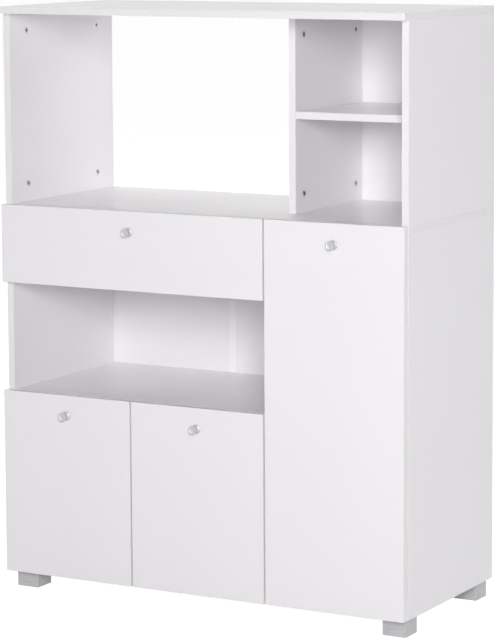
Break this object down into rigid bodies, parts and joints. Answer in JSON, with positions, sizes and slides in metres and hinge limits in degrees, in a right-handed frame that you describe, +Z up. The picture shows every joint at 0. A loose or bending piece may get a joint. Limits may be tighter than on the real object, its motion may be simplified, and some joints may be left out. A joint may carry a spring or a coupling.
{
  "type": "kitchen sideboard",
  "caption": "White kitchen sideboard on short square feet: base with a drawer over an open niche, lower doors and a tall door, and an open hutch with a divided, shelved end.",
  "frame": {"origin": "the middle of the footprint on the floor: midway between the two sides, midway between the knobs' faces and the rear edges, at the underside of the feet", "axes": "+X to the right as seen from the front, +Y from the fronts towards the back, +Z up"},
  "size_m": [1, 0.468, 1.315],
  "materials": {
    "cabinet_board": "white melamine on particle board, semi-gloss",
    "back_sheet": "thin fibreboard painted white, satin",
    "back_strip": "white extruded plastic, satin",
    "foot": "silver grey, satin",
    "hinge_steel": "nickel-plated, satin",
    "runner_steel": "white powder coat",
    "screw_steel": "zinc-plated",
    "cam_metal": "die-cast zinc, dull",
    "dowel_wood": "plain beech",
    "knob": "turned, satin",
    "roller": "natural nylon"
  },
  "bodies": {
    "carcass": {"side_left": "cabinet_board", "side_right": "cabinet_board", "partition": "cabinet_board", "bottom_board": "cabinet_board", "niche_floor": "cabinet_board", "drawer_shelf": "cabinet_board", "worktop": "cabinet_board", "hutch_side_left": "cabinet_board", "hutch_side_right": "cabinet_board", "hutch_divider": "cabinet_board", "top_board": "cabinet_board", "hutch_shelf": "cabinet_board", "tall_shelf_lower": "cabinet_board", "tall_shelf_upper": "cabinet_board", "back_left": "back_sheet", "back_right": "back_sheet", "hutch_back": "back_sheet", "back_strip": "back_strip", "foot_front_left": "foot", "foot_front_right": "foot", "foot_rear_left": "foot", "foot_rear_right": "foot", "hinge_arms": "hinge_steel", "cabinet_runner_left": "runner_steel", "cabinet_runner_right": "runner_steel", "carcass_screws": "screw_steel", "cam_locks": "cam_metal", "cam_bolts": "screw_steel", "dowels": "dowel_wood", "shelf_pins": "screw_steel", "back_nails": "screw_steel"},
    "drawer": {"drawer_front": "cabinet_board", "drawer_side_left": "cabinet_board", "drawer_side_right": "cabinet_board", "drawer_back": "cabinet_board", "drawer_bottom": "back_sheet", "drawer_runner_left": "runner_steel", "drawer_runner_right": "runner_steel", "drawer_screws": "screw_steel", "knob_drawer": "knob", "knob_screw_drawer": "screw_steel"},
    "front_roller_left": {"roller_front_left": "roller"},
    "front_roller_right": {"roller_front_right": "roller"},
    "rear_roller_left": {"roller_rear_left": "roller"},
    "rear_roller_right": {"roller_rear_right": "roller"},
    "left_door": {"door_left": "cabinet_board", "hinge_cups_left": "hinge_steel", "hinge_pins_left": "screw_steel", "knob_left": "knob", "knob_screw_left": "screw_steel"},
    "middle_door": {"door_middle": "cabinet_board", "hinge_cups_middle": "hinge_steel", "hinge_pins_middle": "screw_steel", "knob_middle": "knob", "knob_screw_middle": "screw_steel"},
    "tall_door": {"door_tall": "cabinet_board", "hinge_cups_tall": "hinge_steel", "hinge_pins_tall": "screw_steel", "knob_tall": "knob", "knob_screw_tall": "screw_steel"}
  },
  "joints": [
    {"name": "drawer_slide", "type": "slide", "parent": "carcass", "child": "drawer", "axis": [0, -1, 0], "range_m": [0, 0.28]},
    {"name": "left_door_hinge", "type": "hinge", "parent": "carcass", "child": "left_door", "pos_m": [-0.492, -0.208, 0.2475], "axis": [0, 0, -1], "range_deg": [0, 95]},
    {"name": "middle_door_hinge", "type": "hinge", "parent": "carcass", "child": "middle_door", "pos_m": [0.15733, -0.208, 0.2475], "axis": [0, 0, 1], "range_deg": [0, 95]},
    {"name": "tall_door_hinge", "type": "hinge", "parent": "carcass", "child": "tall_door", "pos_m": [0.492, -0.208, 0.4575], "axis": [0, 0, 1], "range_deg": [0, 95]},
    {"name": "front_roller_left_spin", "type": "hinge", "parent": "carcass", "child": "front_roller_left", "pos_m": [-0.477, -0.178, 0.7344], "axis": [1, 0, 0], "range_deg": [0, 1610]},
    {"name": "front_roller_right_spin", "type": "hinge", "parent": "carcass", "child": "front_roller_right", "pos_m": [0.15233, -0.178, 0.7344], "axis": [1, 0, 0], "range_deg": [0, 1610]},
    {"name": "rear_roller_left_spin", "type": "hinge", "parent": "drawer", "child": "rear_roller_left", "pos_m": [-0.477, 0.142, 0.7333], "axis": [1, 0, 0], "range_deg": [0, 1610]},
    {"name": "rear_roller_right_spin", "type": "hinge", "parent": "drawer", "child": "rear_roller_right", "pos_m": [0.15233, 0.142, 0.7333], "axis": [1, 0, 0], "range_deg": [0, 1610]}
  ],
  "couplings": [
    {"joint": "front_roller_left_spin", "follows": "drawer_slide", "rad_per_m": 100},
    {"joint": "front_roller_right_spin", "follows": "drawer_slide", "rad_per_m": 100},
    {"joint": "rear_roller_left_spin", "follows": "drawer_slide", "rad_per_m": 100},
    {"joint": "rear_roller_right_spin", "follows": "drawer_slide", "rad_per_m": 100}
  ]
}
